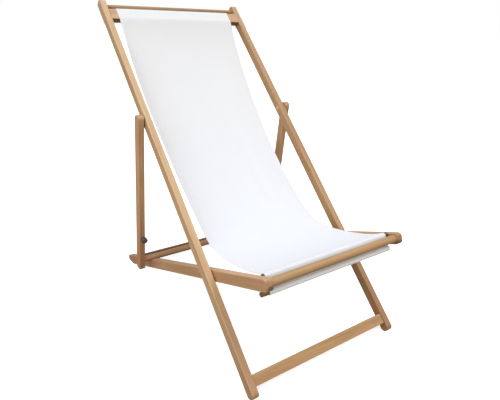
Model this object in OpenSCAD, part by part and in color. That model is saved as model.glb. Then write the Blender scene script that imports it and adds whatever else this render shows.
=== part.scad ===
// Folding beach chair with a hung canvas sling.
// Three timber frames turn on two pairs of pivots: the back frame, the seat
// frame between its stiles and the prop frame outside them.
// Millimetres, Z up, floor at Z 0, the chair faces -Y, its middle is at X 0.

/* [Back frame] */
// Width over the two stiles
frame_width = 520; // [440:1:620]
// Thickness of a stile, across the chair
stile_thick = 20; // [16:0.5:28]
// Depth of a stile, front face to back face
stile_depth = 28.5; // [24:0.5:40]
// Length of a stile
stile_length = 1275; // [1240:1:1400]
// Seat pivot, up the stile from the tip of its foot
seat_pivot_at = 324.4; // [300:0.2:360]
// Prop pivot, up the stile from the tip of its foot
prop_pivot_at = 820; // [790:1:860]
// Radius of the corners at a stile's top end
stile_top_round = 8; // [2:0.5:12]

/* [Seat frame] */
// Thickness of a seat rail, across the chair
rail_thick = 20; // [16:0.5:28]
// Depth of a seat rail, top edge to bottom edge
rail_depth = 32; // [28:0.5:42]
// Seat pivot to the front tip of a seat rail
rail_front = 249.3; // [235:0.1:262]
// Seat pivot to the rear end of a seat rail
rail_rear = 658; // [630:0.5:700]
// Seat pivot above the middle line of the seat rails
pivot_high = 1.5; // [0:0.1:4]
// Radius of the corners at the front tip of a seat rail
rail_tip_round = 11; // [4:0.5:13]
// Depth sawn off the heel of a seat rail, level with the floor
heel_sawn = 13.58; // [8:0.01:18]
// Room between a stile and a seat rail, filled by a spacer
rail_gap = 3; // [2:0.1:5]

/* [Prop frame] */
// Thickness of a prop leg, across the chair
leg_thick = 20; // [18:0.5:28]
// Depth of a prop leg, front edge to rear edge
leg_depth = 26; // [24:0.5:36]
// Room between a stile and a prop leg, filled by a spacer
leg_gap = 3.3; // [2:0.1:5]
// Prop pivot to the middle of the prop crossbar
prop_reach = 484.8; // [470:0.2:500]
// Wood of a prop leg below the middle of the crossbar
leg_below = 28; // [20:1:40]
// Wood of a prop leg above the prop pivot
leg_above = 18; // [14:0.5:26]
// Diameter of the prop crossbar
prop_bar_dia = 20.5; // [18:0.5:24]
// Seat pivot to the notch that holds the crossbar, along the rail
notch_reach = 422.8; // [400:0.2:450]
// How far the crossbar sinks below the top edge of the rails
notch_depth = 4; // [2:0.1:6]
// Degrees that the prop frame turns for each degree of the seat frame
fold_ratio = 2.08; // [2.05:0.01:2.4]

/* [Cross members] */
// Tenon or dowel end let into a side piece
tenon_length = 12; // [8:0.5:14]
// Diameter of the dowel across the top of the stiles
top_dowel_dia = 14.8; // [12:0.2:18]
// Top end of a stile to the middle of the top dowel
top_dowel_in = 19.4; // [17:0.1:30]
// Height of the flat sling rail, along the stiles
sling_rail_height = 41; // [30:0.5:60]
// Thickness of the flat sling rail
sling_rail_thick = 19.5; // [12:0.1:22]
// Slot between the flat sling rail and the top dowel
top_slot = 12.2; // [10:0.1:13.5]
// Height of the front stretcher, along the stiles
stretcher_height = 29; // [20:0.5:34]
// Thickness of the front stretcher
stretcher_thick = 16; // [12:0.5:22]
// Tip of the foot to the lower edge of the front stretcher
stretcher_up = 24.8; // [15:0.2:32]
// Diameter of the dowel across the front of the seat frame
front_dowel_dia = 22; // [18:0.5:24]
// Front tip of the seat rails to the middle of the front dowel
front_dowel_in = 12.3; // [12:0.1:18]
// Diameter of the turned ends of the front dowel
front_tenon_dia = 16; // [12:0.5:16]
// Thickness of the rail on edge behind the front dowel
front_rail_thick = 15; // [12:0.5:20]
// Height of the rail on edge behind the front dowel
front_rail_height = 30; // [26:0.5:31]
// Height of that rail above the top edge of the seat rails
front_rail_proud = 3; // [0:0.5:5]
// Slot between the front dowel and the rail behind it
front_slot = 7; // [4:0.1:10]
// Width of the seat frame's rear crossbar, along the rails
rear_bar_width = 16; // [12:0.5:24]
// Height of the seat frame's rear crossbar
rear_bar_height = 25; // [18:0.5:26]
// Rear end of the rails to the middle of the rear crossbar
rear_bar_in = 76; // [50:0.2:100]

/* [Pivots and bumpers] */
// Diameter of the pivot bolts
bolt_dia = 6; // [5:0.5:8]
// Diameter of the bolt heads on the seat rails
bolt_head_dia = 11; // [10:0.5:14]
// Diameter of the countersunk heads in the stiles
sunk_head_dia = 11.6; // [10:0.2:14]
// Outer diameter of the threaded inserts
insert_dia = 9.5; // [9:0.1:12]
// Length of the threaded inserts
insert_length = 13; // [10:0.5:15]
// Outer diameter of the spacers between the frames
spacer_dia = 18; // [14:0.5:22]
// Outer diameter of the washers under the seat bolt heads
washer_dia = 16; // [14:0.5:20]
// Thickness of the washers under the seat bolt heads
washer_thick = 1.5; // [1:0.1:2]
// Diameter of a rubber bumper
bumper_dia = 19; // [16:0.5:22]
// Length of a rubber bumper
bumper_length = 16; // [12:0.5:20]
// Middle of the crossbar to the middle of a bumper, up the leg
bumper_up = 88; // [60:1:100]
// How far a bumper stands proud of the inner face of its leg
bumper_over = 3; // [0:0.1:3]

/* [Sling] */
// Half width of the sling at its hems
sling_half = 209.5; // [180:0.5:212]
// How far each edge of the sling is drawn in below the middle
sling_draw = 18.5; // [0:0.5:24]
// How far the middle of the sling hangs below its edges
sling_sag = 6; // [0:0.5:12]
// Thickness of the canvas
cloth_thick = 1.2; // [1:0.1:1.6]
// Diameter of the rods inside the hems
hem_rod_dia = 13; // [11:0.5:14]
// Room between a hem rod in the middle of the chair and each stile
hem_rod_short = 21; // [17:0.5:26]
// How far the canvas has slid to the right side
cloth_aside = 4.5; // [0:0.5:7]
// How far the front hem rod has slid to the right side
front_rod_aside = 17; // [0:0.5:17]
// Lowest part of the sling, behind the seat pivot
hang_behind = 55; // [40:1:90]
// Lowest part of the sling, above the seat pivot
hang_above = 40.6; // [38:0.2:60]
// Angle at which the sling leaves the flat sling rail
hang_top_angle = 22; // [18:0.2:30]
// Slope of the sling at its lowest part
hang_low_angle = 7; // [0:0.2:8]
// Angle at which the sling meets the front rail
hang_front_angle = 37.8; // [34:0.2:48]
// How stiffly the sling leaves the flat sling rail, as a length along it
hang_top_run = 272; // [200:1:300]
// How flat the sling lies behind its lowest part, as a length along it
hang_rear_run = 84; // [50:1:110]
// How flat the sling lies before its lowest part, as a length along it
hang_fore_run = 87; // [40:1:110]
// How stiffly the sling meets the front rail, as a length along it
hang_front_run = 30; // [20:1:70]

/* [Hidden] */

// Clearances
glue_gap = 0.02;   // round ends in their holes, on the radius
end_gap = 0.05;    // tenon and dowel ends to the bottom of their holes
run_gap = 0.05;    // a pivot bolt in the piece that turns on it, on the radius
side_gap = 0.1;    // faces that pass each other at a pivot
bar_gap = 0.3;     // the crossbar in its notch
cloth_gap = 0.2;   // canvas to the wood that carries it
edge_round = 2;    // eased long edges of the timber
tip_gap = 1;       // bolt tip to the bottom of its insert
foot_flat = 0.6;   // depth of the worn flat under each foot

// Across the chair
stile_out = frame_width / 2;
stile_in = stile_out - stile_thick;
rail_out = stile_in - rail_gap;
rail_in = rail_out - rail_thick;
leg_in = stile_out + leg_gap;
leg_out = leg_in + leg_thick;

// Back frame, measured up the stile from the seat pivot
foot_r = stile_depth / 2;
stile_low = -seat_pivot_at;
stile_high = stile_length - seat_pivot_at;
pivot_span = prop_pivot_at - seat_pivot_at;
top_dowel_y = stile_high - top_dowel_in;
sling_rail_top = top_dowel_y - top_dowel_dia / 2 - top_slot;
sling_rail_low = sling_rail_top - sling_rail_height;
stretcher_mid = stile_low + stretcher_up + stretcher_height / 2;

// Seat frame, measured to the rear along the rail from the seat pivot
rail_top = rail_depth / 2 - pivot_high;
rail_bottom = -rail_depth / 2 - pivot_high;
front_dowel_y = -rail_front + front_dowel_in;
front_tenon_r = min(front_tenon_dia, front_dowel_dia - 2) / 2;
front_rail_y = front_dowel_y + front_dowel_dia / 2 + front_slot + front_rail_thick / 2;
front_rail_top = rail_top + front_rail_proud;
rear_bar_y = rail_rear - rear_bar_in;

// The crossbar in its notch, seen from the seat pivot
bar_r = prop_bar_dia / 2;
bar_up = rail_top + bar_r - notch_depth;
bar_span = sqrt(notch_reach * notch_reach + bar_up * bar_up);

// Angle between the stiles and the seat rails, from the triangle of the seat
// pivot, the prop pivot and the crossbar
open_angle = atan2(bar_up, notch_reach)
    + acos((pivot_span * pivot_span + bar_span * bar_span - prop_reach * prop_reach)
        / (2 * pivot_span * bar_span));

// Pitch of the stiles that puts their feet and the rails' sawn heels on the floor
foot_y = seat_pivot_at - foot_r;
pitch_p = foot_y + rail_rear * cos(open_angle) + rail_bottom * sin(open_angle);
pitch_q = rail_bottom * cos(open_angle) - rail_rear * sin(open_angle);
stile_angle = asin((foot_flat - foot_r - heel_sawn)
    / sqrt(pitch_p * pitch_p + pitch_q * pitch_q)) - atan2(pitch_q, pitch_p);
rail_angle = open_angle - stile_angle;

// Seat pivot in the chair, with the middle of the chair's depth at Y 0
pivot_z = foot_r - foot_flat + foot_y * sin(stile_angle);
reach_front = max((rail_front - rail_tip_round) * cos(rail_angle)
    - (rail_bottom + rail_tip_round) * sin(rail_angle) + rail_tip_round,
    foot_y * cos(stile_angle) + foot_r);
reach_back = (stile_high - stile_top_round) * cos(stile_angle)
    + (stile_depth / 2 - stile_top_round) * sin(stile_angle) + stile_top_round;
pivot_y = (reach_front - reach_back) / 2;

// Points of the two frames in the chair, each as Y and Z
function back_pt(p) = [
    pivot_y + p[0] * cos(stile_angle) - p[1] * sin(stile_angle),
    pivot_z + p[0] * sin(stile_angle) + p[1] * cos(stile_angle)
];
function seat_pt(p) = [
    pivot_y + p[0] * cos(rail_angle) + p[1] * sin(rail_angle),
    pivot_z - p[0] * sin(rail_angle) + p[1] * cos(rail_angle)
];
function polar(c, r, a) = [c[0] + r * cos(a), c[1] + r * sin(a)];
function turned(v, a) = [v[0] * cos(a) - v[1] * sin(a), v[0] * sin(a) + v[1] * cos(a)];

// Prop frame
prop_at = back_pt([pivot_span, 0]);
bar_at = seat_pt([notch_reach, bar_up]);
prop_lean = atan2(bar_at[0] - prop_at[0], prop_at[1] - bar_at[1]);
leg_low = -prop_reach - leg_below;

// Path of the crossbar over the rail while the chair folds, by the angle of
// the seat frame: the rail is cut away behind the notch along this path
prop_from_seat = [pivot_span * cos(open_angle), pivot_span * sin(open_angle)];
bar_from_prop = [notch_reach, bar_up] - prop_from_seat;
function bar_path(q) = turned(prop_from_seat + turned(bar_from_prop, fold_ratio * q), -q);
path_step = 1;
path_steps = 12;

// Hem rods: each is trapped by its slot
hem_rod_r = hem_rod_dia / 2;
hem_rod_half = stile_in - hem_rod_short;
cloth_shift = min(cloth_aside, rail_in - sling_half - 1);
front_rod_shift = min(front_rod_aside, hem_rod_short - 2);
wrap_r = hem_rod_r + cloth_gap + cloth_thick / 2;
hold_r = wrap_r + cloth_thick / 2 + cloth_gap;
top_corner = [sling_rail_top, stile_depth / 2 - sling_rail_thick];
dowel_from_corner = [top_dowel_y, 0] - top_corner;
corner_span = norm(dowel_from_corner);
dowel_hold = top_dowel_dia / 2 + hold_r;
corner_turn = acos((hold_r * hold_r + corner_span * corner_span - dowel_hold * dowel_hold)
    / (2 * hold_r * corner_span));
top_rod = polar(top_corner, hold_r,
    atan2(dowel_from_corner[1], dowel_from_corner[0]) - corner_turn);
front_rod = [
    front_rail_y - front_rail_thick / 2 - cloth_thick / 2 - cloth_gap - front_slot / 3,
    rail_bottom - hem_rod_r - bar_gap
];

// Line of the canvas from the top hem to the front hem, each part as Y and Z
top_skin = stile_depth / 2 + cloth_gap + cloth_thick / 2;
top_lip = sling_rail_top + cloth_gap + cloth_thick / 2;
top_in_turn = acos((top_lip - top_rod[0]) / wrap_r);
top_wrap = [for (i = [0:13]) back_pt(polar(top_rod, wrap_r, top_in_turn + (325 - i * 25)))];
top_edge = [sling_rail_top - edge_round, stile_depth / 2 - edge_round];
top_over = [for (a = [0:30:90]) back_pt(polar(top_edge, top_lip - top_edge[0], a))];
hang_start = back_pt([sling_rail_low, top_skin]);
hang_low = [pivot_y + hang_behind, pivot_z + hang_above];
front_crown = [front_rail_y, front_rail_top - front_rail_thick / 2];
crown_r = front_rail_thick / 2 + cloth_gap + cloth_thick / 2;
crown_turn = 90 - (hang_front_angle - rail_angle);
hang_end = seat_pt(polar(front_crown, crown_r, crown_turn));
function bezier(a, b, c, d, t) = pow(1 - t, 3) * a + 3 * pow(1 - t, 2) * t * b
    + 3 * (1 - t) * t * t * c + pow(t, 3) * d;
function way(a) = [cos(a), sin(a)];
back_hang = [for (i = [0:18]) bezier(
    hang_start,
    hang_start - hang_top_run * way(stile_angle + hang_top_angle),
    hang_low + hang_rear_run * way(hang_low_angle),
    hang_low,
    i / 18)];
seat_hang = [for (i = [1:12]) bezier(
    hang_low,
    hang_low - hang_fore_run * way(hang_low_angle),
    hang_end + hang_front_run * way(-hang_front_angle),
    hang_end,
    i / 12)];
crown_wrap = [for (i = [1:6]) seat_pt(polar(front_crown, crown_r,
    crown_turn + (180 - crown_turn) * i / 6))];
front_in_turn = acos((front_rail_y - front_rail_thick / 2 - cloth_gap - cloth_thick / 2
    - front_rod[0]) / wrap_r);
front_wrap = [for (i = [0:13]) seat_pt(polar(front_rod, wrap_r, front_in_turn - i * 25))];
cloth_line = concat(top_wrap, top_over, back_hang, seat_hang, crown_wrap, front_wrap);
cloth_rows = len(cloth_line);
hang_from = len(top_wrap) + len(top_over);
hang_rows = len(back_hang) + len(seat_hang);
cloth_cols = 6;

// Share of the way down the hanging part, by row of the canvas
function hang_share(i) = min(1, max(0, (i - hang_from) / (hang_rows - 1)));
function cloth_half(i) = sling_half - sling_draw * sin(180 * pow(hang_share(i), 1.5));
function cloth_tangent(i) = cloth_line[min(i + 1, cloth_rows - 1)] - cloth_line[max(i - 1, 0)];
function cloth_normal(i) = [-cloth_tangent(i)[1], cloth_tangent(i)[0]] / norm(cloth_tangent(i));
function cloth_sink(i, x) = sling_sag * (1 - x * x) * pow(sin(180 * hang_share(i)), 2);
function cloth_point(i, x, side) = let (
    n = cloth_normal(i),
    p = cloth_line[i] + n * (side * cloth_thick / 2 + cloth_sink(i, x))
) [x * cloth_half(i) - cloth_shift, p[0], p[1]];

// A bar along X with its long edges rounded
module bar_x(length, wide, high, r) {
    translate([-length / 2, -wide / 2 + r, -high / 2]) cube([length, wide - 2 * r, high]);
    translate([-length / 2, -wide / 2, -high / 2 + r]) cube([length, wide, high - 2 * r]);
    for (y = [-1, 1], z = [-1, 1])
        translate([-length / 2, y * (wide / 2 - r), z * (high / 2 - r)])
            rotate([0, 90, 0]) cylinder(h = length, r = r, $fn = 24);
}

// A bar along Y from one place to another with its long edges rounded
module bar_y(from, to, thick, deep) {
    translate([0, (from + to) / 2, 0])
        rotate([0, 0, 90]) bar_x(to - from, thick, deep, edge_round);
}

// A round piece along X, from one place to another
module rod_x(from, to, r, segments = 48) {
    translate([from, 0, 0]) rotate([0, 90, 0]) cylinder(h = to - from, r = r, $fn = segments);
}

// A cone along X, from one place to another
module cone_x(from, to, r_from, r_to) {
    translate([from, 0, 0])
        rotate([0, 90, 0]) cylinder(h = to - from, r1 = r_from, r2 = r_to, $fn = 48);
}

// Places of the three frames and of the chair's left or right side
module in_back() {
    translate([0, pivot_y, pivot_z]) rotate([stile_angle, 0, 0]) children();
}

module in_seat() {
    translate([0, pivot_y, pivot_z]) rotate([-rail_angle, 0, 0]) children();
}

module in_prop() {
    translate([0, prop_at[0], prop_at[1]]) rotate([prop_lean, 0, 0]) children();
}

module on_side(side) {
    mirror([side < 0 ? 1 : 0, 0, 0]) children();
}

module both_sides() {
    on_side(1) children();
    on_side(-1) children();
}

module above_floor() {
    difference() {
        children();
        translate([-frame_width, -2 * stile_length, -stile_depth])
            cube([2 * frame_width, 4 * stile_length, stile_depth]);
    }
}

// Outline of a stile from the side: round foot, eased top
module stile_outline() {
    wide = 2 * stile_thick;
    r = stile_top_round;
    translate([-wide / 2, stile_low + foot_r, -stile_depth / 2])
        cube([wide, stile_length - foot_r - r, stile_depth]);
    translate([-wide / 2, 0, -stile_depth / 2 + r])
        cube([wide, stile_high, stile_depth - 2 * r]);
    translate([0, stile_low + foot_r, 0]) rod_x(-wide / 2, wide / 2, foot_r, 64);
    for (z = [-1, 1])
        translate([0, stile_high - r, z * (stile_depth / 2 - r)])
            rod_x(-wide / 2, wide / 2, r, 32);
}

module stile(side) {
    above_floor() on_side(side) in_back() difference() {
        translate([(stile_in + stile_out) / 2, 0, 0]) intersection() {
            bar_y(stile_low, stile_high, stile_thick, stile_depth);
            stile_outline();
        }
        rod_x(stile_in - 1, stile_in + insert_length + end_gap, insert_dia / 2 + glue_gap);
        translate([0, pivot_span, 0]) {
            rod_x(stile_in - 1, stile_out + 1, bolt_dia / 2 + run_gap);
            cone_x(stile_in - 1, stile_in + sunk_head_dia / 2 + 2 * side_gap - bolt_dia / 2,
                sunk_head_dia / 2 + 2 * side_gap + 1, bolt_dia / 2);
        }
        translate([0, top_dowel_y, 0])
            rod_x(stile_in - 1, stile_in + tenon_length + end_gap, top_dowel_dia / 2 + glue_gap);
        translate([0, (sling_rail_top + sling_rail_low) / 2, (stile_depth - sling_rail_thick) / 2])
            socket(stile_in, sling_rail_height - 12, sling_rail_thick - 7);
        translate([0, stretcher_mid, (stile_depth - stretcher_thick) / 2])
            socket(stile_in, stretcher_height - 10, stretcher_thick - 7);
    }
}

// The hole for a tenon, and a cross member with its two tenons
module socket(face, wide, high) {
    translate([face - 1, -wide / 2 - glue_gap, -high / 2 - glue_gap])
        cube([tenon_length + end_gap + 1, wide + 2 * glue_gap, high + 2 * glue_gap]);
}

module cross_member(face, wide, high, tenon_wide, tenon_high) {
    bar_x(2 * face, wide, high, edge_round);
    translate([-face - tenon_length, -tenon_wide / 2, -tenon_high / 2])
        cube([2 * face + 2 * tenon_length, tenon_wide, tenon_high]);
}

module left_stile() {
    color("burlywood") stile(1);
}

module right_stile() {
    color("burlywood") stile(-1);
}

module top_dowel() {
    color("tan") in_back() translate([0, top_dowel_y, 0])
        rod_x(-stile_in - tenon_length, stile_in + tenon_length, top_dowel_dia / 2);
}

module top_sling_rail() {
    color("peru") in_back()
        translate([0, (sling_rail_top + sling_rail_low) / 2, (stile_depth - sling_rail_thick) / 2])
            cross_member(stile_in, sling_rail_height, sling_rail_thick,
                sling_rail_height - 12, sling_rail_thick - 7);
}

module front_stretcher() {
    color("peru") in_back()
        translate([0, stretcher_mid, (stile_depth - stretcher_thick) / 2])
            cross_member(stile_in, stretcher_height, stretcher_thick,
                stretcher_height - 10, stretcher_thick - 7);
}

module top_hem_rod() {
    color("sienna") in_back() translate([-cloth_shift, top_rod[0], top_rod[1]])
        rod_x(-hem_rod_half, hem_rod_half, hem_rod_r);
}

// Seat pivots: the bolt is fast in the stile and the seat rail turns on it
seat_head_x = rail_in - side_gap - washer_thick;

module threaded_insert(face) {
    difference() {
        rod_x(face, face + insert_length, insert_dia / 2);
        rod_x(face - 1, face + insert_length + 1, bolt_dia / 2 + glue_gap);
    }
}

module ring(from, to, outer) {
    difference() {
        rod_x(from, to, outer / 2);
        rod_x(from - 1, to + 1, bolt_dia / 2 + run_gap);
    }
}

module seat_pivot_inserts() {
    color("goldenrod") both_sides() in_back() threaded_insert(stile_in);
}

module seat_pivot_bolts() {
    color("silver") both_sides() in_back() difference() {
        union() {
            rod_x(seat_head_x, stile_in + insert_length - tip_gap, bolt_dia / 2);
            rod_x(seat_head_x - 1.2, seat_head_x, bolt_head_dia / 2);
            cone_x(seat_head_x - 3.2, seat_head_x - 1.2, bolt_head_dia / 2 - 2.4,
                bolt_head_dia / 2);
        }
        rod_x(seat_head_x - 4, seat_head_x - 1.2, 2.3, 6);
    }
}

module seat_pivot_spacers() {
    color("dimgray") both_sides() in_back() ring(rail_out + side_gap, stile_in, spacer_dia);
}

module seat_pivot_washers() {
    color("lightgray") both_sides() in_back()
        ring(seat_head_x, seat_head_x + washer_thick, washer_dia);
}

// Outline of a seat rail from the side: rounded tip, heel with an eased top corner
module rail_outline() {
    wide = 2 * rail_thick;
    r = rail_tip_round;
    top_r = 4;
    translate([-wide / 2, r - rail_front, rail_bottom])
        cube([wide, rail_front - r + rail_rear - top_r, rail_depth]);
    translate([-wide / 2, -rail_front, rail_bottom + r])
        cube([wide, rail_front + rail_rear, rail_depth - 2 * r]);
    translate([-wide / 2, 0, rail_bottom]) cube([wide, rail_rear, rail_depth - top_r]);
    translate([0, rail_rear - top_r, rail_top - top_r]) rod_x(-wide / 2, wide / 2, top_r, 32);
    for (z = [rail_bottom + r, rail_top - r])
        translate([0, r - rail_front, z]) rod_x(-wide / 2, wide / 2, r, 64);
}

// The notch and the way that the crossbar takes out of it
module bar_notch() {
    low = bar_r + bar_gap;
    translate([0, notch_reach, bar_up]) rod_x(rail_in - 1, rail_out + 1, low, 64);
    outline = concat(
        [for (i = [0:path_steps]) [bar_path(i * path_step)[0], bar_path(i * path_step)[1] - low]],
        [[bar_path(path_steps * path_step)[0], bar_up + low], [notch_reach, bar_up + low]]
    );
    translate([rail_in - 1, 0, 0]) rotate([90, 0, 90])
        linear_extrude(height = rail_thick + 2) polygon(outline);
}

module seat_rail(side) {
    above_floor() on_side(side) in_seat() difference() {
        translate([(rail_in + rail_out) / 2, 0, 0]) intersection() {
            translate([0, 0, -pivot_high]) bar_y(-rail_front, rail_rear, rail_thick, rail_depth);
            rail_outline();
        }
        rod_x(rail_in - 1, rail_out + 1, bolt_dia / 2 + run_gap);
        translate([0, front_dowel_y, 0])
            rod_x(rail_in - 1, rail_in + tenon_length + end_gap, front_tenon_r + glue_gap);
        translate([0, front_rail_y, 0])
            socket(rail_in, front_rail_thick - 6, front_rail_height - 12);
        translate([0, rear_bar_y, rail_top - rear_bar_height / 2])
            socket(rail_in, rear_bar_width - 7, rear_bar_height - 10);
        bar_notch();
    }
}

module left_seat_rail() {
    color("burlywood") seat_rail(1);
}

module right_seat_rail() {
    color("burlywood") seat_rail(-1);
}

module front_dowel() {
    color("tan") in_seat() translate([0, front_dowel_y, 0]) {
        rod_x(-rail_in, rail_in, front_dowel_dia / 2);
        rod_x(-rail_in - tenon_length, rail_in + tenon_length, front_tenon_r);
    }
}

// The rail that the canvas turns over, with a round top
module front_sling_rail() {
    r = front_rail_thick / 2;
    color("peru") in_seat() translate([0, front_rail_y, 0]) {
        translate([-rail_in, -r, front_rail_top - front_rail_height + edge_round])
            cube([2 * rail_in, 2 * r, front_rail_height - r - edge_round]);
        translate([-rail_in, -r + edge_round, front_rail_top - front_rail_height])
            cube([2 * rail_in, 2 * r - 2 * edge_round, front_rail_height - r]);
        for (y = [-1, 1])
            translate([0, y * (r - edge_round), front_rail_top - front_rail_height + edge_round])
                rod_x(-rail_in, rail_in, edge_round, 24);
        translate([0, 0, front_rail_top - r]) rod_x(-rail_in, rail_in, r);
        translate([-rail_in - tenon_length, -r + 3, -front_rail_height / 2 + 6])
            cube([2 * (rail_in + tenon_length), 2 * r - 6, front_rail_height - 12]);
    }
}

module rear_crossbar() {
    color("peru") in_seat() translate([0, rear_bar_y, rail_top - rear_bar_height / 2])
        cross_member(rail_in, rear_bar_width, rear_bar_height,
            rear_bar_width - 7, rear_bar_height - 10);
}

module front_hem_rod() {
    color("sienna") in_seat() translate([-front_rod_shift, front_rod[0], front_rod[1]])
        rod_x(-hem_rod_half, hem_rod_half, hem_rod_r);
}

// Outline of a prop leg from the side, hanging down from the prop pivot
module leg_outline() {
    wide = 2 * leg_thick;
    top_r = leg_depth / 2;
    low_r = 12;
    translate([-wide / 2, -leg_depth / 2, leg_low + low_r])
        cube([wide, leg_depth, leg_above - top_r - leg_low - low_r]);
    translate([-wide / 2, -leg_depth / 2, leg_low])
        cube([wide, leg_depth - low_r, low_r + 1]);
    translate([0, leg_depth / 2 - low_r, leg_low + low_r]) rod_x(-wide / 2, wide / 2, low_r, 32);
    translate([0, 0, leg_above - top_r]) rod_x(-wide / 2, wide / 2, top_r, 64);
}

module prop_leg(side) {
    on_side(side) in_prop() difference() {
        translate([(leg_in + leg_out) / 2, 0, 0]) intersection() {
            translate([0, 0, (leg_low + leg_above) / 2])
                rotate([0, 90, 0]) bar_x(leg_above - leg_low, leg_depth, leg_thick, edge_round);
            leg_outline();
        }
        rod_x(leg_in - 1, leg_in + insert_length + end_gap, insert_dia / 2 + glue_gap);
        translate([0, 0, -prop_reach])
            rod_x(leg_in - 1, leg_in + tenon_length + end_gap, bar_r + glue_gap);
        bumper_place() translate([0, 0, -bumper_screw - end_gap])
            cylinder(h = bumper_screw + end_gap + 1, r = 2 + glue_gap, $fn = 32);
    }
}

module left_prop_leg() {
    color("burlywood") prop_leg(1);
}

module right_prop_leg() {
    color("burlywood") prop_leg(-1);
}

module prop_crossbar() {
    color("tan") in_prop() translate([0, 0, -prop_reach])
        rod_x(-leg_in - tenon_length, leg_in + tenon_length, bar_r);
}

// Rubber knobs on the front faces of the legs, on which the folded chair lies
bumper_screw = 12;

module bumper_place() {
    translate([leg_in + bumper_dia / 2 - min(bumper_over, leg_gap - 2 * side_gap),
        -leg_depth / 2, -prop_reach + bumper_up]) rotate([90, 0, 0]) children();
}

module bumper_profile() {
    r = bumper_dia / 2;
    edge = 4;
    square([r, bumper_length - edge]);
    square([r - edge, bumper_length]);
    translate([r - edge, bumper_length - edge]) circle(r = edge, $fn = 32);
}

module prop_bumpers() {
    color("darkslategray") both_sides() in_prop() bumper_place() difference() {
        rotate_extrude($fn = 48) bumper_profile();
        translate([0, 0, -1]) cylinder(h = bumper_length + 2, r = 2 + glue_gap, $fn = 32);
        translate([0, 0, bumper_length - 5]) cylinder(h = 6, r = 4.5, $fn = 32);
    }
}

module prop_bumper_screws() {
    color("silver") both_sides() in_prop() bumper_place() {
        translate([0, 0, -bumper_screw])
            cylinder(h = bumper_screw + bumper_length - 5, r = 2, $fn = 32);
        difference() {
            translate([0, 0, bumper_length - 5]) cylinder(h = 2.5, r1 = 4, r2 = 2.8, $fn = 48);
            translate([-0.4, -2.2, bumper_length - 3.3]) cube([0.8, 4.4, 2]);
            translate([-2.2, -0.4, bumper_length - 3.3]) cube([4.4, 0.8, 2]);
        }
    }
}

// Prop pivots: the bolt is fast in the prop leg and the stile turns on it
module prop_pivot_inserts() {
    color("goldenrod") both_sides() in_prop() threaded_insert(leg_in);
}

module prop_pivot_bolts() {
    head = stile_in + side_gap;
    color("silver") both_sides() in_prop() difference() {
        union() {
            rod_x(head, leg_in + insert_length - tip_gap, bolt_dia / 2);
            cone_x(head, head + (sunk_head_dia - bolt_dia) / 2, sunk_head_dia / 2, bolt_dia / 2);
        }
        rod_x(head - 1, head + 2, 2, 6);
    }
}

module prop_pivot_spacers() {
    color("dimgray") both_sides() in_prop() ring(stile_out + side_gap, leg_in, spacer_dia);
}

// The canvas: one sheet from hem to hem, turned round both hem rods
module sling() {
    cols = cloth_cols + 1;
    face = cloth_rows * cols;
    points = [for (side = [1, -1], i = [0:cloth_rows - 1], j = [0:cloth_cols])
        cloth_point(i, 2 * j / cloth_cols - 1, side)];
    upper = [for (i = [0:cloth_rows - 2], j = [0:cloth_cols - 1])
        let (a = i * cols + j) each [[a, a + 1, a + cols], [a + 1, a + cols + 1, a + cols]]];
    lower = [for (i = [0:cloth_rows - 2], j = [0:cloth_cols - 1])
        let (a = face + i * cols + j) each [[a, a + cols, a + 1], [a + 1, a + cols, a + cols + 1]]];
    sides = [for (i = [0:cloth_rows - 2], j = [0, cloth_cols])
        let (a = i * cols + j, b = a + cols) each j == 0
            ? [[a, b, face + a], [b, face + b, face + a]]
            : [[a, face + a, b], [b, face + a, face + b]]];
    ends = [for (i = [0, cloth_rows - 1], j = [0:cloth_cols - 1])
        let (a = i * cols + j, b = a + 1) each i == 0
            ? [[a, face + a, b], [b, face + a, face + b]]
            : [[a, b, face + a], [b, face + b, face + a]]];
    color("white") polyhedron(points = points, faces = concat(upper, lower, sides, ends));
}

left_stile();
right_stile();
top_dowel();
top_sling_rail();
front_stretcher();
top_hem_rod();
seat_pivot_inserts();
seat_pivot_bolts();
seat_pivot_spacers();
seat_pivot_washers();
left_seat_rail();
right_seat_rail();
front_dowel();
front_sling_rail();
rear_crossbar();
front_hem_rod();
left_prop_leg();
right_prop_leg();
prop_crossbar();
prop_bumpers();
prop_bumper_screws();
prop_pivot_inserts();
prop_pivot_bolts();
prop_pivot_spacers();
sling();
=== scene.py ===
import bpy
import math
from mathutils import Matrix, Vector


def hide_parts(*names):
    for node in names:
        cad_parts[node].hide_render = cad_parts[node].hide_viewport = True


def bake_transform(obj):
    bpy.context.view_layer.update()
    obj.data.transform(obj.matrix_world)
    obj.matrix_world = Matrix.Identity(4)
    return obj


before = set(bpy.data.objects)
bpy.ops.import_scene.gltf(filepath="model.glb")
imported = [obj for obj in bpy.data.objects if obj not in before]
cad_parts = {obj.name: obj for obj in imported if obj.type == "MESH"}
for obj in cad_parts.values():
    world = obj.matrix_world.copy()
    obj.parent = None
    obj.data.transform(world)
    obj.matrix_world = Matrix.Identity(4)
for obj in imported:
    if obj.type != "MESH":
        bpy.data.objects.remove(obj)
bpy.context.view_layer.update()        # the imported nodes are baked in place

print("frame loaded:", len(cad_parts), "nodes")


def deselectAll():
    if bpy.context.object and bpy.context.object.mode != "OBJECT":
        bpy.ops.object.mode_set(mode="OBJECT")
    bpy.ops.object.select_all(action="DESELECT")


def makeActive(piece):
    deselectAll()
    piece.select_set(True)
    bpy.context.view_layer.objects.active = piece


def applyModifiers(piece):
    makeActive(piece)
    for modifier in list(piece.modifiers):
        bpy.ops.object.modifier_apply(modifier=modifier.name)


def feed(tree, value, socket):
    # value is another node's output, a number or a colour
    if isinstance(value, bpy.types.NodeSocket):
        tree.links.new(value, socket)
    else:
        socket.default_value = value


def setInputs(tree, node, **inputs):
    for name, value in inputs.items():
        feed(tree, value, node.inputs[name.replace("_", " ")])


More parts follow.
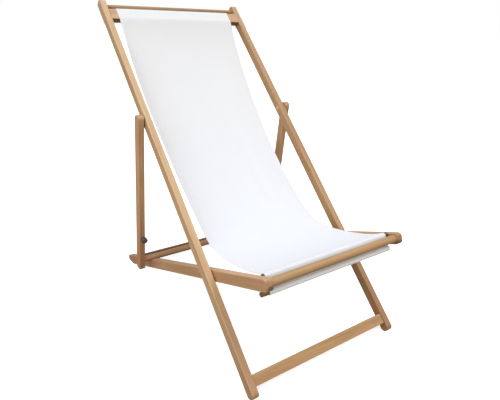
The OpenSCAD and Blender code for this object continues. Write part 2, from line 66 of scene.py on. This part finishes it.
def newNode(tree, kind, x, y, **inputs):
    node = tree.nodes.new(kind)
    node.location = (x, y)
    setInputs(tree, node, **inputs)
    return node


def newMaterial(name):
    material = bpy.data.materials.new(name)
    material.use_nodes = True
    tree = material.node_tree
    return material, tree, tree.nodes["Principled BSDF"]


def mathNode(tree, kind, x, y, first, second=None):
    node = newNode(tree, "ShaderNodeMath", x, y)
    node.operation = kind
    feed(tree, first, node.inputs[0])
    if second is not None:
        feed(tree, second, node.inputs[1])
    return node.outputs[0]


def mixNode(tree, x, y, factor, under, over, blend="MIX"):
    node = newNode(tree, "ShaderNodeMix", x, y)
    node.data_type, node.blend_type = "RGBA", blend
    setInputs(tree, node, Factor=factor, A=under, B=over)
    return node.outputs["Result"]


def rangeNode(tree, x, y, value, start=(0, 1), end=(0, 1)):
    # takes the start range to the end range, and holds its ends
    node = newNode(tree, "ShaderNodeMapRange", x, y, Value=value, From_Min=start[0],
                   From_Max=start[1], To_Min=end[0], To_Max=end[1])
    return node.outputs["Result"]


def placeNode(tree, x, y, vector, **inputs):
    return newNode(tree, "ShaderNodeMapping", x, y, Vector=vector, **inputs).outputs["Vector"]


def noiseNode(tree, x, y, vector, **inputs):
    return newNode(tree, "ShaderNodeTexNoise", x, y, Vector=vector, **inputs).outputs["Fac"]


def bumpNode(tree, x, y, height, strength, distance):
    return newNode(tree, "ShaderNodeBump", x, y, Height=height, Strength=strength,
                   Distance=distance).outputs["Normal"]


def splitNode(tree, x, y, vector):
    return newNode(tree, "ShaderNodeSeparateXYZ", x, y, Vector=vector).outputs


cameraView = {
    "place": (-0.7894, -1.1476, 0.8663),
    "target": (0.0010, -0.0542, 0.3464),
    "roll": 1.81,        # degrees, the picture leans a little
    "lens": 33.295,
    "sensor": 36.0,
    "sees": (0.02, 60),      # nearest and furthest, in metres
}


def placeCamera(view):
    data = bpy.data.cameras.new("camera")
    data.lens = view["lens"]
    data.sensor_width = view["sensor"]
    data.clip_start, data.clip_end = view["sees"]
    camera = bpy.data.objects.new("camera", data)
    bpy.context.scene.collection.objects.link(camera)
    place = Vector(view["place"])
    forward = (Vector(view["target"]) - place).normalized()
    right = forward.cross(Vector((0, 0, 1))).normalized()
    up = right.cross(forward)
    turn = math.radians(view["roll"])
    right, up = (right * math.cos(turn) + up * math.sin(turn),
                 up * math.cos(turn) - right * math.sin(turn))
    spin = Matrix((right, up, -forward)).transposed().to_4x4()
    camera.matrix_world = Matrix.Translation(place) @ spin
    bpy.context.scene.camera = camera


placeCamera(cameraView)
print("camera placed")

# the three frames: degrees that each leans, and the Y and Z of its pivot
chair = {
    "stile": {"lean": 45.33, "pivot": (-0.21939, 0.23421)},
    "rail": {"lean": -20.59, "pivot": (-0.21939, 0.23421)},
    "leg": {"lean": 96.47, "pivot": (0.12904, 0.58665)},
}

timber = {
    "pale": (0.65, 0.410, 0.212),
    "honey": (0.535, 0.318, 0.148),
    "dark": (0.36, 0.190, 0.076),
    "blush": (0.66, 0.31, 0.15),        # redder patches
    "pore": (0.24, 0.115, 0.045),
    "worn": (0.75, 0.54, 0.33),         # long edges worn smooth, lighter also as a painted highlight
    "sawn": (0.40, 0.215, 0.095),       # end grain takes more oil
    "shadeBrown": (0.115, 0.070, 0.040, 1),     # painted shade: rail ends beside the canvas, the corner at the stile, lower faces and the rail ends below the dowel
    "lowShade": (0.81, 0.72, 0.71, 1),      # painted shade, multiplied in towards the feet of the stiles and legs and the rear ends of the rails
    # a noise: its scale along and across the grain, detail, roughness and distortion
    "streaks": (9, 260, 6.0, 0.62, 0.15),
    "streakRange": (0.32, 0.66),
    # each layer over the streaks: the noise values where it starts and ends, its share there
    "layers": (
        {"colour": "dark", "noise": (3, 34, 3.0, 0.5, 0.6), "range": (0.44, 0.68),
         "share": (0, 0.5)},
        {"colour": "blush", "noise": (19, 36, 2.0, 0.5, 0.4), "range": (0.48, 0.68),
         "share": (0, 0.26)},
        {"colour": "pore", "noise": (40, 1100, 2.0, 0.5, 0.0), "range": (0.26, 0.36),
         "share": (0.28, 0)},
    ),
    "edge": (0.0036, 0.0006),   # from the edge, where the wear and the painted highlight start and where they are full
    "rubbingAndHighlight": 0.75,
    "endOn": (0.72, 0.95),      # how squarely a face cuts the grain, for the sawn look
    "sawing": 0.65,
    "jointShade": 0.85,
    # painted shade below the dowel: out from the middle of the chair, up the rail and across it,
    # clear and then dark
    "dowelShade": ((0.2330, 0.2290), (-0.2340, -0.2420), (-0.0005, -0.0055)),
    "roughness": (0.42, 0.58),
    "relief": (0.25, 0.0004),
    "oil": (0.22, 0.42),        # weight and roughness of the coat
}


def toned(colour, tint):
    return [c * t for c, t in zip(colour, tint)] + [1]


def timberMaterial(name, bar):
    # the grain runs up the frame that the bar is on, or across the chair where alongX is set
    material, tree, shader = newMaterial(name)
    alongX, tint, seed = bar.get("alongX", False), bar["tint"], bar["seed"]
    lean, pivot = math.radians(chair[bar["on"]]["lean"]), chair[bar["on"]]["pivot"]
    upright = (-lean, 0, 0)         # turns the frame until it lies along Y
    place = newNode(tree, "ShaderNodeTexCoord", -1700, 0).outputs
    turned = placeNode(tree, -1500, 0, place["Object"], Rotation=upright,
                       Location=(seed, seed * 0.37, seed * 0.71))

    def grain(y, along, across, detail, roughness, distortion):
        scale = (along, across, across) if alongX else (across, along, across)
        stretched = placeNode(tree, -1300, y, turned, Scale=scale)
        return noiseNode(tree, -1100, y, stretched, Scale=1.0, Detail=detail,
                         Roughness=roughness, Distortion=distortion)

    def absolute(x, y, value):
        return mathNode(tree, "ABSOLUTE", x, y, value)

    streaks = grain(200, *timber["streaks"])
    colour = mixNode(tree, -880, 200, rangeNode(tree, -1000, 350, streaks, timber["streakRange"]),
                     toned(timber["honey"], tint), toned(timber["pale"], tint))
    for i, layer in enumerate(timber["layers"]):
        share = rangeNode(tree, -880, -150 - 300 * i, grain(-150 - 300 * i, *layer["noise"]),
                          layer["range"], layer["share"])
        colour = mixNode(tree, -700 + 150 * i, 150, share, colour,
                         toned(timber[layer["colour"]], tint))

    if "half" in bar:           # places from the middle of its section, for edges and marks
        up = pivot[0] * math.cos(lean) + pivot[1] * math.sin(lean)
        out = pivot[1] * math.cos(lean) - pivot[0] * math.sin(lean)
        middle, half = bar["middle"], bar["half"]
        centre = ((0, -up - middle[0], -out - middle[1]) if alongX
                  else (-middle[0], -up, -out - middle[1]))
        parts = splitNode(tree, -1300, 600, placeNode(
            tree, -1500, 600, place["Object"], Rotation=upright, Location=centre))
        side = mathNode(tree, "SUBTRACT", -950, 650, half[0],
                        absolute(-1120, 650, parts["Y" if alongX else "X"]))
        face = mathNode(tree, "SUBTRACT", -950, 500, half[1],
                        absolute(-1120, 500, parts["Z"]))
        fromEdge = mathNode(tree, "MAXIMUM", -780, 580, side, face)
        # worn edges, lighter also as a painted highlight where the rounding catches light
        rubbedAndLit = rangeNode(tree, -620, 580, fromEdge, timber["edge"], (0, timber["rubbingAndHighlight"]))
        patchy = mathNode(tree, "MULTIPLY", -450, 520, rubbedAndLit, streaks)
        colour = mixNode(tree, -230, 250, patchy, colour, toned(timber["worn"], tint))

    if "foot" in bar:           # painted shade along the bar, from unshaded to the darkest
        lowShade = rangeNode(tree, -450, 750, parts["Y"], bar["foot"])
        colour = mixNode(tree, -150, 600, lowShade, colour, timber["lowShade"], "MULTIPLY")

    facing = newNode(tree, "ShaderNodeMapping", -1500, 900, Rotation=upright,
                     Vector=place["Normal"])
    facing.vector_type = "VECTOR"
    slopes = splitNode(tree, -1300, 900, facing.outputs["Vector"])
    endOn = absolute(-1120, 900, slopes["X" if alongX else "Y"])
    sawn = rangeNode(tree, -900, 900, endOn, timber["endOn"], (0, timber["sawing"]))
    colour = mixNode(tree, -60, 300, sawn, colour, toned(timber["sawn"], tint))

    if "shadedEnds" in bar:     # painted shade on the front sling rail's bare ends beside the canvas
        bare = mathNode(tree, "GREATER_THAN", -780, 1100, absolute(-950, 1100, parts["X"]),
                        bar["shadedEnds"])
        colour = mixNode(tree, 100, 350, bare, colour, timber["shadeBrown"])
    if "joint" in bar:          # painted shade in the corner where the stretcher meets the left stile
        corner = rangeNode(tree, -780, 1500, parts["X"], bar["joint"],
                           (0, timber["jointShade"]))
        colour = mixNode(tree, 180, 380, corner, colour, timber["shadeBrown"])
    if "shadeUnder" in bar:        # painted shade on the lower face: how dark, the slopes where it starts and ends
        shade, *limits = bar["shadeUnder"]
        low = rangeNode(tree, -780, 1300, slopes["Y"], limits, (0, shade))
        colour = mixNode(tree, 260, 400, low, colour, timber["shadeBrown"])
    if "dowelShade" in bar:          # painted shade on the end grain below the dowel, on the side of the canvas
        fromMiddle = absolute(-1120, 1700, splitNode(tree, -1300, 1700, place["Object"])["X"])
        dowelShade = bar["dowelShade"]
        ways = (fromMiddle, parts["Y"], parts["Z"])
        for i, (value, reach) in enumerate(zip(ways, timber["dowelShade"])):
            part = rangeNode(tree, -950, 1700 + 250 * i, value, reach)
            dowelShade = mathNode(tree, "MULTIPLY", -700, 1700 + 250 * i, part, dowelShade)
        colour = mixNode(tree, 340, 450, dowelShade, colour, timber["shadeBrown"])

    setInputs(tree, shader, Base_Color=colour,
              Roughness=rangeNode(tree, -400, -200, streaks, end=timber["roughness"]),
              Normal=bumpNode(tree, -200, -350, streaks, *timber["relief"]),
              Coat_Weight=timber["oil"][0], Coat_Roughness=timber["oil"][1])
    return material


metal = {
    "grit": {"Scale": 900.0, "Detail": 4.0, "Roughness": 0.6},
    "specks": (0.82, 1.08),
    "roughness": (0.8, 1.25),        # least and most, as shares
    "hollow": (1.25, 0.75),          # where the painted shade of a hollow starts and is full, as shares of its radius
}

plastic = {
    "grit": {"Scale": 1400.0, "Detail": 3.0},
    "specks": (0.8, 1.2),
    "bump": 0.3,
}


def speckled(tree, noise, colour, darker, lighter):
    # the colour with small lighter and darker specks
    return mixNode(tree, -480, 100, noise, [c * darker for c in colour] + [1],
                   [min(1, c * lighter) for c in colour] + [1])


def metalMaterial(name, colour, roughness, socket=None):
    material, tree, shader = newMaterial(name)
    place = newNode(tree, "ShaderNodeTexCoord", -1100, 0).outputs["Object"]
    noise = noiseNode(tree, -700, 0, place, **metal["grit"])
    shown = speckled(tree, noise, colour, *metal["specks"])
    # painted shade: a dark disc in place of the shade inside the hollow
    if socket:
        fromAxis = newNode(tree, "ShaderNodeVectorMath", -700, 350)
        fromAxis.operation = "DISTANCE"
        feed(tree, placeNode(tree, -880, 350, place, Scale=(0, 1, 1)), fromAxis.inputs[0])
        fromAxis.inputs[1].default_value = (0, *socket["axis"])
        inside = rangeNode(tree, -480, 350, fromAxis.outputs["Value"],
                           [socket["radius"] * share for share in metal["hollow"]])
        shown = mixNode(tree, -250, 250, inside, shown, socket["colour"])
    rough = rangeNode(tree, -480, -150, noise,
                      end=[roughness * share for share in metal["roughness"]])
    setInputs(tree, shader, Base_Color=shown, Roughness=rough, Metallic=1.0)
    return material


def plasticMaterial(name, colour, roughness, bumpHeight):
    material, tree, shader = newMaterial(name)
    place = newNode(tree, "ShaderNodeTexCoord", -900, 0).outputs["Object"]
    noise = noiseNode(tree, -700, 0, place, **plastic["grit"])
    setInputs(tree, shader, Base_Color=speckled(tree, noise, colour, *plastic["specks"]),
              Normal=bumpNode(tree, -200, -250, noise, plastic["bump"], bumpHeight),
              Roughness=roughness)
    return material


def dress(node, material):
    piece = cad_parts[node]
    if not piece.material_slots:
        piece.data.materials.append(material)
    for slot in piece.material_slots:
        slot.material = material


stileSide, railSide, legSide = (0.010, 0.01425), (0.010, 0.016), (0.010, 0.013)
# middle and half size of each section: across the chair and across the bar, or for a cross
# member up its frame and across it; each bar has its own tone and its own grain
bars = {
    "left_stile": {"on": "stile", "middle": (0.250, 0), "half": stileSide,
                   "tint": (0.76, 0.72, 0.66), "seed": 1.3, "foot": (-0.02, -0.27)},
    "right_stile": {"on": "stile", "middle": (-0.250, 0), "half": stileSide,
                    "tint": (0.97, 1.02, 1.05), "seed": 7.9, "foot": (-0.02, -0.27)},
    "left_seat_rail": {"on": "rail", "middle": (0.227, -0.0015), "half": railSide,
                       "tint": (0.80, 0.77, 0.80), "seed": 3.1, "foot": (0.28, 0.52),
                       "dowelShade": 0.8},
    "right_seat_rail": {"on": "rail", "middle": (-0.227, -0.0015), "half": railSide,
                        "tint": (0.92, 0.89, 0.94), "seed": 5.7, "foot": (0.28, 0.52),
                        "dowelShade": 0.8},
    "left_prop_leg": {"on": "leg", "middle": (0.2733, 0), "half": legSide,
                      "tint": (0.88, 0.86, 0.86), "seed": 2.2, "foot": (-0.25, -0.46)},
    "right_prop_leg": {"on": "leg", "middle": (-0.2733, 0), "half": legSide,
                       "tint": (0.96, 0.93, 0.96), "seed": 9.4, "foot": (-0.25, -0.46)},
    "top_sling_rail": {"on": "stile", "alongX": True, "middle": (0.8911, 0.0045),
                       "half": (0.0205, 0.00975), "tint": (0.86, 0.83, 0.83), "seed": 4.4,
                       "shadeUnder": (0.75, -0.6, -0.9)},
    "front_stretcher": {"on": "stile", "alongX": True, "middle": (-0.2851, 0.00625),
                        "half": (0.0145, 0.008), "tint": (0.80, 0.77, 0.66), "seed": 6.1,
                        "joint": (0.2335, 0.2355)},
    "front_sling_rail": {"on": "rail", "alongX": True, "middle": (-0.2115, 0.0025),
                         "half": (0.0075, 0.015), "tint": (0.88, 0.85, 0.82), "seed": 8.3,
                         "shadedEnds": 0.2052},
    # painted shade: the rear crossbar's dark tint stands for the shade it lies in
    "rear_crossbar": {"on": "rail", "alongX": True, "middle": (0.582, 0.002),
                      "half": (0.008, 0.0125), "tint": (0.38, 0.34, 0.32), "seed": 2.7},
    "top_dowel": {"on": "stile", "alongX": True, "tint": (0.69, 0.67, 0.59), "seed": 5.2},
    "front_dowel": {"on": "rail", "alongX": True, "tint": (0.73, 0.72, 0.645), "seed": 1.9},
    "prop_crossbar": {"on": "leg", "alongX": True, "tint": (1.0, 0.93, 0.95), "seed": 3.6,
                      "shadeUnder": (0.7, 0.10, -0.35)},
    "top_hem_rod": {"on": "stile", "alongX": True, "tint": (0.40, 0.39, 0.38), "seed": 7.2},
    "front_hem_rod": {"on": "rail", "alongX": True, "tint": (0.40, 0.39, 0.38), "seed": 4.8},
}
for node, bar in bars.items():
    dress(node, timberMaterial("timber_" + node, bar))
print("timber dressed")

# painted shade: a dark disc stands for the shade in the hollow in the head of each prop pivot bolt;
# Y and Z of its middle
boltSocketShade = {"axis": chair["leg"]["pivot"], "radius": 0.0019, "colour": (0.03, 0.02, 0.012, 1)}
zincPlate = metalMaterial("zinc_plate", (0.60, 0.60, 0.61), 0.32)
insertBrass = metalMaterial("insert_brass", (0.72, 0.55, 0.24), 0.35)
bronzedSteel = metalMaterial("bronzed_steel", (0.92, 0.74, 0.47), 0.42, boltSocketShade)
bumperRubber = plasticMaterial("bumper_rubber", (0.075, 0.074, 0.066), 0.62, 0.0003)
spacerNylon = plasticMaterial("spacer_nylon", (0.05, 0.05, 0.05), 0.5, 0.0001)
fittings = {
    "seat_pivot_bolts": zincPlate, "seat_pivot_washers": zincPlate,
    "seat_pivot_inserts": insertBrass, "seat_pivot_spacers": spacerNylon,
    "prop_pivot_bolts": bronzedSteel, "prop_pivot_inserts": insertBrass,
    "prop_pivot_spacers": spacerNylon,
    "prop_bumpers": bumperRubber, "prop_bumper_screws": zincPlate,
}
for node, material in fittings.items():
    dress(node, material)
print("fittings dressed")

# the canvas runs from a sewn end round the top rod, down the back and seat and round the
# front rod; places are along and across the back frame or, from the crown on, the seat frame
sling = {
    "halfWidth": 0.2095,
    "thick": 0.0011,
    "sewnGap": 0.0003,           # between the sheet and its sewn end
    "columns": 48,
    "drawIn": (0.0185, 1.5),     # how far each side draws in, and how low the narrowest place is
    "middleSag": 0.006,
    "wrap": 0.0073,              # from a rod's middle to the middle of the cloth round it
    "wrapTurn": 322,             # degrees round each rod
    "wrapRows": 30,
    "topRod": (0.91870, -0.00916),
    "tailRows": 3,
    "topTail": (0.012, -0.004),  # the sewn end: across the frame, step
    "topLip": (0.9124, (0.003, 0.008)),      # up the frame, and its two rows
    "topEdge": (0.9096, 0.01225),
    "edgeBend": (0.0028, 15),    # over the rail's front edge: radius and step in degrees
    "edgeRows": 7,
    "topRailLow": 0.8706, "topSkin": 0.01505, "skinRows": 6,
    "lowPart": (0.0550, 0.0406),     # where back turns into seat, Y and Z from the seat pivot
    "topAngle": 22.0, "lowAngle": 7.0, "frontAngle": 37.8,      # slopes of the hang
    # how straight the hang runs off from the top, from the turn both ways and from the front
    "topRun": 0.272, "rearRun": 0.084, "foreRun": 0.087, "frontRun": 0.030,
    "backRows": 72, "seatRows": 36,
    # over the front rail
    "crown": (-0.2115, 0.0100), "crownRadius": 0.0083, "crownRows": 10,
    "frontRod": (-0.22213, -0.0243), "frontFace": -0.2198,
    "frontDrop": (0.010, -0.006),    # down the face of the front rail: start, step
    "frontTail": (-0.0095, 0.004),
    # slid to the right side: on the top rail, just below it, on the front rail, at the end
    "aside": (0.0075, 0.0054, 0.0038, 0.0060),
    "settle": 0.05,              # share of the hang where it has slid from the first to the second
    "ripple": 0.0007,
    "longRipple": (14, 2.3, 5),      # waves over the width, how far they wander and how often
    "fineRipple": (0.6, 23, -7, 1.1),    # share, waves over the width and down, start
    "smoothUnder": 50,           # degrees between faces
}


def onCircle(centre, radius, angle):
    a = math.radians(angle)
    return Vector((centre[0] + radius * math.cos(a), centre[1] + radius * math.sin(a)))


def onFrame(point, name):
    # a place measured along and across a frame, as Y and Z of the chair
    a, pivot = math.radians(chair[name]["lean"]), chair[name]["pivot"]
    return Vector((pivot[0] + point[0] * math.cos(a) - point[1] * math.sin(a),
                   pivot[1] + point[0] * math.sin(a) + point[1] * math.cos(a)))


def heading(angle):
    a = math.radians(angle)
    return Vector((math.cos(a), math.sin(a)))


def curve(a, b, c, d, t):
    return (1 - t) ** 3 * a + 3 * (1 - t) ** 2 * t * b + 3 * (1 - t) * t * t * c + t ** 3 * d


def slingLine(cut):
    # rows of the sheet as Y and Z, each with its place in the hang, from 0 to 1
    line = []

    def onBack(point, share=0):
        line.append((onFrame(point, "stile"), share))

    def onSeat(point, share=1):
        line.append((onFrame(point, "rail"), share))

    wrap, turn, rows = cut["wrap"], cut["wrapTurn"], cut["wrapRows"]
    tailRows, gap = cut["tailRows"], cut["thick"] + cut["sewnGap"]
    lip, lipRows = cut["topLip"]
    high, low = cut["topEdge"][0], cut["topRailLow"]
    entry = math.degrees(math.acos((lip - cut["topRod"][0]) / wrap))
    for i in range(tailRows):
        onBack((lip + gap, cut["topTail"][0] + i * cut["topTail"][1]))
    for i in range(rows):
        onBack(onCircle(cut["topRod"], wrap, entry + turn - i * turn / (rows - 1)))
    for across in lipRows:
        onBack((lip, across))
    for i in range(cut["edgeRows"]):
        onBack(onCircle(cut["topEdge"], cut["edgeBend"][0], i * cut["edgeBend"][1]))
    for i in range(1, cut["skinRows"]):
        onBack((high + (low - high) * i / cut["skinRows"], cut["topSkin"]))

    # the hang: one curve down the back to its turn, one along the seat to the front rail
    backRows, seatRows = cut["backRows"], cut["seatRows"]
    allRows = backRows + seatRows
    top = onFrame((low, cut["topSkin"]), "stile")
    bottom = Vector(chair["rail"]["pivot"]) + Vector(cut["lowPart"])
    bend = 90 - (cut["frontAngle"] + chair["rail"]["lean"])
    crown = onFrame(onCircle(cut["crown"], cut["crownRadius"], bend), "rail")
    along = heading(cut["lowAngle"])
    topHandle = top - cut["topRun"] * heading(chair["stile"]["lean"] + cut["topAngle"])
    crownHandle = crown + cut["frontRun"] * heading(-cut["frontAngle"])
    for i in range(backRows + 1):
        line.append((curve(top, topHandle, bottom + cut["rearRun"] * along, bottom,
                           i / backRows), i / allRows))
    for i in range(1, seatRows + 1):
        line.append((curve(bottom, bottom - cut["foreRun"] * along, crownHandle, crown,
                           i / seatRows), (backRows + i) / allRows))

    for i in range(1, cut["crownRows"] + 1):
        onSeat(onCircle(cut["crown"], cut["crownRadius"],
                        bend + (180 - bend) * i / cut["crownRows"]))
    entry = math.degrees(math.acos((cut["frontFace"] - cut["frontRod"][0]) / wrap))
    for i in range(1, 1 + tailRows):
        onSeat((cut["frontFace"], cut["frontDrop"][0] + i * cut["frontDrop"][1]))
    for i in range(rows):
        onSeat(onCircle(cut["frontRod"], wrap, entry - i * turn / (rows - 1)))
    for i in range(tailRows):
        onSeat((cut["frontFace"] - gap, cut["frontTail"][0] + i * cut["frontTail"][1]))
    return line


def buildSling(cut):
    line = slingLine(cut)
    rows = len(line)
    lengths = [0.0]
    for before, after in zip(line, line[1:]):
        lengths.append(lengths[-1] + (after[0] - before[0]).length)
    firstHung = next(i for i, item in enumerate(line) if item[1] > 0) - 1
    lastHung = next(i for i, item in enumerate(line) if item[1] >= 1)
    hung = lengths[lastHung] - lengths[firstHung]
    top, below, front, end = cut["aside"]
    waves, wander, often = cut["longRipple"]
    fine, fineWaves, fineDown, fineStart = cut["fineRipple"]

    deselectAll()
    bpy.ops.mesh.primitive_grid_add(x_subdivisions=cut["columns"], y_subdivisions=rows - 1,
                                    size=1, calc_uvs=True)
    sheet = bpy.context.object
    sheet.name = "sling_canvas"
    mesh = sheet.data
    uv = mesh.uv_layers.active.data
    for loop in mesh.loops:
        place = mesh.vertices[loop.vertex_index].co
        row = round((place.y + 0.5) * (rows - 1))
        uv[loop.index].uv = (2 * place.x * cut["halfWidth"], lengths[row])      # metres
    for vertex in mesh.vertices:
        across = 2 * vertex.co.x
        row = round((vertex.co.y + 0.5) * (rows - 1))
        share = min(1.0, max(0.0, (lengths[row] - lengths[firstHung]) / hung))
        ahead = line[min(row + 1, rows - 1)][0] - line[max(row - 1, 0)][0]
        normal = Vector((-ahead.y, ahead.x)).normalized()
        half = cut["halfWidth"] - cut["drawIn"][0] * math.sin(math.pi * share ** cut["drawIn"][1])
        sink = cut["middleSag"] * (1 - across * across) * math.sin(math.pi * share) ** 2
        pull = math.sin(math.pi * share) * (1 - across ** 2) ** 0.5
        ripple = cut["ripple"] * pull * (
            math.sin(across * waves + wander * math.sin(share * often))
            + fine * math.sin(across * fineWaves + share * fineDown + fineStart))
        place = line[row][0] + normal * (sink + ripple)
        settled = min(1.0, share / cut["settle"])
        slid = top + (below - top) * settled * settled * (3 - 2 * settled) + (front - below) * share
        if row > lastHung:
            slid = front + (end - front) * (row - lastHung) / (rows - 1 - lastHung)
        vertex.co = (across * half - slid, place.x, place.y)
    makeActive(sheet)
    bpy.ops.object.mode_set(mode="EDIT")
    bpy.ops.mesh.select_all(action="SELECT")
    bpy.ops.mesh.normals_make_consistent(inside=False)
    bpy.ops.object.mode_set(mode="OBJECT")
    body = sheet.modifiers.new("body", "SOLIDIFY")
    body.thickness = cut["thick"]
    body.offset = 0
    applyModifiers(sheet)
    makeActive(sheet)
    bpy.ops.object.shade_smooth_by_angle(angle=math.radians(cut["smoothUnder"]))
    print("sling built:", rows, "rows,", round(lengths[-1], 4), "m of canvas")
    return sheet, lengths[-1]


weave = {
    "thread": 0.0012,            # one wave of the weave
    "slub": (900, 60, 1),
    "slubRange": (0.3, 0.7),
    "white": ((0.79, 0.812, 0.845, 1), (0.82, 0.842, 0.875, 1)),
    "seatShade": (0.35, 0.95),        # down the canvas, where the painted shade starts and where it is full
    "seatShadeTone": (0.925, 0.935, 0.975, 1),    # painted shade: the seat a little greyer and bluer than the back
    "roll": 0.062,               # the two-layer part at the front
    "doubleAndLit": (0.975, 0.975, 0.98, 1),   # two layers are whiter, and whiter still as painted light on the shaded roll
    "sideHem": 0.014,            # from the edge to the hem's inner fold
    "stitchIn": 0.012,           # from the edge to the stitch line
    "stitchHalf": 0.0005,
    "stitchLength": 0.0035,
    "stitchGap": -0.35,          # the wave's height where a stitch ends
    "stitchColour": (0.76, 0.76, 0.76, 1),
    # height of each in the bump
    "raised": {"weave": 0.35, "slub": 0.6, "hem": 1.0, "stitch": 1.2},
    "relief": (0.35, 0.0003),
    "roughness": 0.85,
    "gloss": 0.25,
    "sheen": (0.15, 0.5),        # weight and roughness
    "through": (0.5, 0.003),     # how much light comes through the cloth, and how far it spreads
}


def canvasMaterial(cut, cloth, length):
    # white canvas: plain weave, slubs and a stitched hem down each side
    material, tree, shader = newMaterial("white_canvas")
    flat = newNode(tree, "ShaderNodeUVMap", -2000, 0).outputs["UV"]
    across, down = splitNode(tree, -1800, 0, flat)[:2]

    def maths(kind, x, y, first, second=None):
        return mathNode(tree, kind, x, y, first, second)

    def wave(y, value, wavelength):
        return maths("SINE", -1400, y, maths("MULTIPLY", -1600, y, value,
                                             2 * math.pi / wavelength))

    def raised(name, x, y, value):
        return maths("MULTIPLY", x, y, value, cloth["raised"][name])

    threads = maths("MULTIPLY", -1200, 220, wave(300, across, cloth["thread"]),
                    wave(150, down, cloth["thread"]))
    slub = noiseNode(tree, -1200, -50, placeNode(tree, -1400, -50, flat, Scale=cloth["slub"]),
                     Scale=1.0, Detail=4.0, Roughness=0.6)
    fromEdge = maths("SUBTRACT", -1400, -300, cut["halfWidth"],
                     maths("ABSOLUTE", -1600, -300, across))
    hem = maths("LESS_THAN", -1200, -300, fromEdge, cloth["sideHem"])
    offLine = maths("ABSOLUTE", -1000, -420, maths("SUBTRACT", -1200, -420, fromEdge,
                                                   cloth["stitchIn"]))
    onLine = maths("LESS_THAN", -800, -420, offLine, cloth["stitchHalf"])
    dash = maths("GREATER_THAN", -1000, -560, wave(-560, down, cloth["stitchLength"]),
                 cloth["stitchGap"])
    stitch = maths("MULTIPLY", -600, -480, onLine, dash)

    tone = rangeNode(tree, -800, 0, slub, cloth["slubRange"])
    colour = mixNode(tree, -500, 150, tone, *cloth["white"])
    # painted shade, growing down the canvas towards the seat
    seatShade = rangeNode(tree, -700, 480, down, cloth["seatShade"])
    colour = mixNode(tree, -440, 250, seatShade, colour, cloth["seatShadeTone"], "MULTIPLY")
    # the two-layer roll at the front, whitened further as painted light
    rolled = maths("GREATER_THAN", -600, 350, down, length - cloth["roll"])
    colour = mixNode(tree, -380, 350, rolled, colour, cloth["doubleAndLit"])
    colour = mixNode(tree, -250, 150, stitch, colour, cloth["stitchColour"])

    height = maths("ADD", -500, -250, raised("weave", -700, -200, threads),
                   raised("slub", -700, -320, slub))
    height = maths("ADD", -350, -300, height, raised("hem", -500, -420, hem))
    height = maths("SUBTRACT", -200, -350, height, raised("stitch", -400, -520, stitch))
    setInputs(tree, shader, Base_Color=colour, Roughness=cloth["roughness"],
              Normal=bumpNode(tree, -50, -350, height, *cloth["relief"]),
              Sheen_Weight=cloth["sheen"][0], Sheen_Roughness=cloth["sheen"][1],
              Specular_IOR_Level=cloth["gloss"], Subsurface_Weight=cloth["through"][0],
              Subsurface_Radius=(1.0, 1.0, 1.0), Subsurface_Scale=cloth["through"][1])
    return material


canvas, canvasLength = buildSling(sling)
canvas.data.materials.clear()
canvas.data.materials.append(canvasMaterial(sling, weave, canvasLength))
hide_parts("sling")
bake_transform(canvas)
print("sling dressed")

# floor and light
studio = {
    "floorSize": 400,
    "floor": (0.93, 0.93, 0.93, 1),
    "bounce": (0.32, 0.27, 0.22, 1),     # what the floor gives back to the chair
    "lift": 0.60,                # lightens the shadows on the floor
    "seenSky": 1.0,              # what the camera sees past the floor
    "softLight": 0.60,           # light from all round
    "lamps": {                   # each shines from a direction, spread in degrees
        "overhead": {"from": (0.22, -0.22, 0.95), "strength": 1.42, "spread": 40},
        "side": {"from": (-0.70, -0.30, 0.50), "strength": 1.15, "spread": 60},
    },
}


def seenByCamera(tree, x, y):
    return newNode(tree, "ShaderNodeLightPath", x, y).outputs["Is Camera Ray"]


deselectAll()
bpy.ops.mesh.primitive_plane_add(size=studio["floorSize"], location=(0, 0, 0))
floor = bpy.context.object
floor.name = "studio_floor"
floorMaterial, floorTree, floorShader = newMaterial("studio_floor")
seen = seenByCamera(floorTree, -700, 0)
setInputs(floorTree, floorShader,
          Base_Color=mixNode(floorTree, -400, 100, seen, studio["bounce"], studio["floor"]),
          Emission_Strength=rangeNode(floorTree, -400, -200, seen, end=(0, studio["lift"])),
          Emission_Color=(1, 1, 1, 1), Roughness=0.9, Specular_IOR_Level=0.0)
floor.data.materials.append(floorMaterial)

world = bpy.data.worlds.new("studio")
bpy.context.scene.world = world
world.use_nodes = True
skyTree = world.node_tree
setInputs(skyTree, skyTree.nodes["Background"], Color=(1.0, 1.0, 1.0, 1),
          Strength=rangeNode(skyTree, -350, 0, seenByCamera(skyTree, -600, 0),
                             end=(studio["softLight"], studio["seenSky"])))

for name, lamp in studio["lamps"].items():
    lampData = bpy.data.lights.new(name, "SUN")
    lampData.energy = lamp["strength"]
    lampData.angle = math.radians(lamp["spread"])
    light = bpy.data.objects.new(name, lampData)
    bpy.context.scene.collection.objects.link(light)
    light.rotation_euler = (-Vector(lamp["from"])).to_track_quat("-Z", "Y").to_euler()
bpy.context.scene.view_settings.view_transform = "Standard"
print("studio lit")
